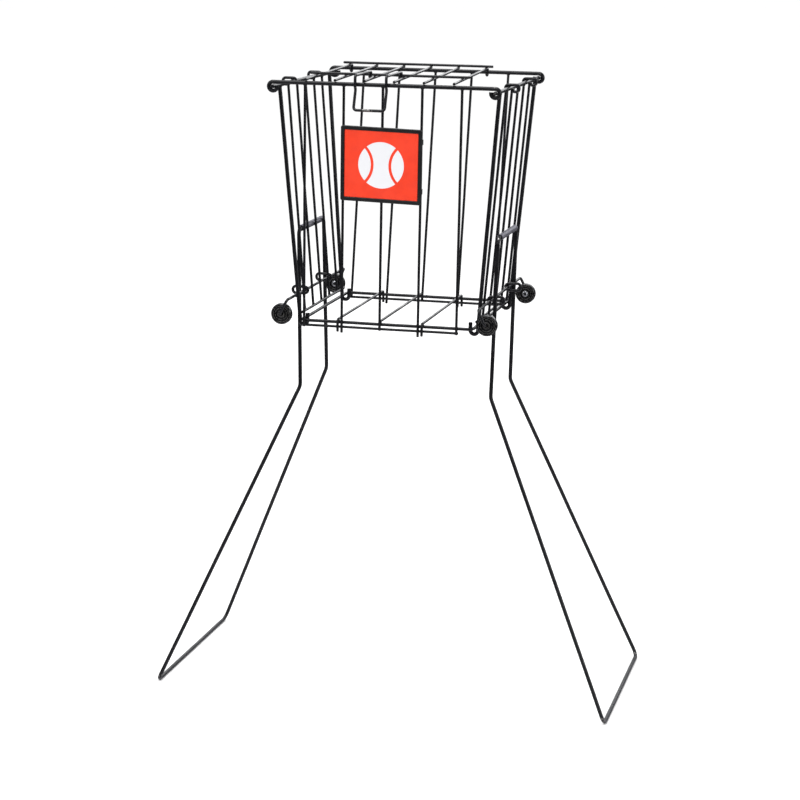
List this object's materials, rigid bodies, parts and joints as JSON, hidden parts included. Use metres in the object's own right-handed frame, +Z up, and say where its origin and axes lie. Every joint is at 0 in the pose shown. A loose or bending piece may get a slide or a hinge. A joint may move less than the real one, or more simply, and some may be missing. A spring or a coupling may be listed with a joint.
{
  "type": "tennis ball hopper",
  "caption": "Black wire basket on two folding wire legs that swing up into a carrying handle, with a hinged wire lid, latch, bottom rods that pick up balls, side wheels and a red front badge.",
  "frame": {"origin": "on the floor, under the middle of the basket, midway between the two foot bars", "axes": "+Z up, -Y towards the front with the badge and the latch, +X to the right of someone who faces the front"},
  "size_m": [0.6434, 0.3253, 0.8641],
  "materials": {
    "frame_wire": "gloss black powder coat",
    "grid_wire": "gloss black powder coat",
    "pivot_sleeve": "dull zinc-plated",
    "wheel": "moulded, satin",
    "push_nut": "zinc-plated spring steel",
    "badge_frame": "moulded, satin",
    "badge_plate": "printed orange-red, satin"
  },
  "bodies": {
    "basket": {"front_panel": "frame_wire", "rear_panel": "frame_wire", "bottom_ring": "frame_wire", "bottom_rod_left": "grid_wire", "bottom_rod_middle": "grid_wire", "bottom_rod_right": "grid_wire", "badge_frame": "badge_frame", "badge_plate": "badge_plate", "left_side_panel": "frame_wire", "left_pivot_sleeve": "pivot_sleeve", "left_wheel_carrier": "grid_wire", "left_leg_catch_front": "grid_wire", "left_leg_catch_rear": "grid_wire", "left_top_hook_front": "grid_wire", "left_top_hook_rear": "grid_wire", "left_push_nut_front": "push_nut", "left_push_nut_rear": "push_nut", "right_side_panel": "frame_wire", "right_pivot_sleeve": "pivot_sleeve", "right_wheel_carrier": "grid_wire", "right_leg_catch_front": "grid_wire", "right_leg_catch_rear": "grid_wire", "right_top_hook_front": "grid_wire", "right_top_hook_rear": "grid_wire", "right_push_nut_front": "push_nut", "right_push_nut_rear": "push_nut"},
    "lid": {"lid_grid": "grid_wire"},
    "latch": {"latch_loop": "grid_wire"},
    "leg_left": {"left_leg": "frame_wire"},
    "leg_right": {"right_leg": "frame_wire"},
    "wheel_left_front": {"left_wheel_front": "wheel"},
    "wheel_left_rear": {"left_wheel_rear": "wheel"},
    "wheel_right_front": {"right_wheel_front": "wheel"},
    "wheel_right_rear": {"right_wheel_rear": "wheel"}
  },
  "joints": [
    {"name": "leg_left_swing", "type": "hinge", "parent": "basket", "child": "leg_left", "pos_m": [-0.14006, 0, 0.643], "axis": [0, 1, 0], "range_deg": [0, 176.25]},
    {"name": "leg_right_swing", "type": "hinge", "parent": "basket", "child": "leg_right", "pos_m": [0.14006, 0, 0.643], "axis": [0, -1, 0], "range_deg": [0, 176.25]},
    {"name": "lid_hinge", "type": "hinge", "parent": "basket", "child": "lid", "pos_m": [0, 0.151, 0.85], "axis": [-1, 0, 0], "range_deg": [0, 200]},
    {"name": "latch_hinge", "type": "hinge", "parent": "lid", "child": "latch", "pos_m": [0, -0.08, 0.85825], "axis": [-1, 0, 0], "range_deg": [0, 165]},
    {"name": "wheel_left_front_spin", "type": "hinge", "parent": "basket", "child": "wheel_left_front", "pos_m": [-0.14201, -0.135, 0.537], "axis": [0, 1, 0], "continuous": true},
    {"name": "wheel_left_rear_spin", "type": "hinge", "parent": "basket", "child": "wheel_left_rear", "pos_m": [-0.14201, 0.135, 0.537], "axis": [0, 1, 0], "continuous": true},
    {"name": "wheel_right_front_spin", "type": "hinge", "parent": "basket", "child": "wheel_right_front", "pos_m": [0.14201, -0.135, 0.537], "axis": [0, 1, 0], "continuous": true},
    {"name": "wheel_right_rear_spin", "type": "hinge", "parent": "basket", "child": "wheel_right_rear", "pos_m": [0.14201, 0.135, 0.537], "axis": [0, 1, 0], "continuous": true}
  ]
}
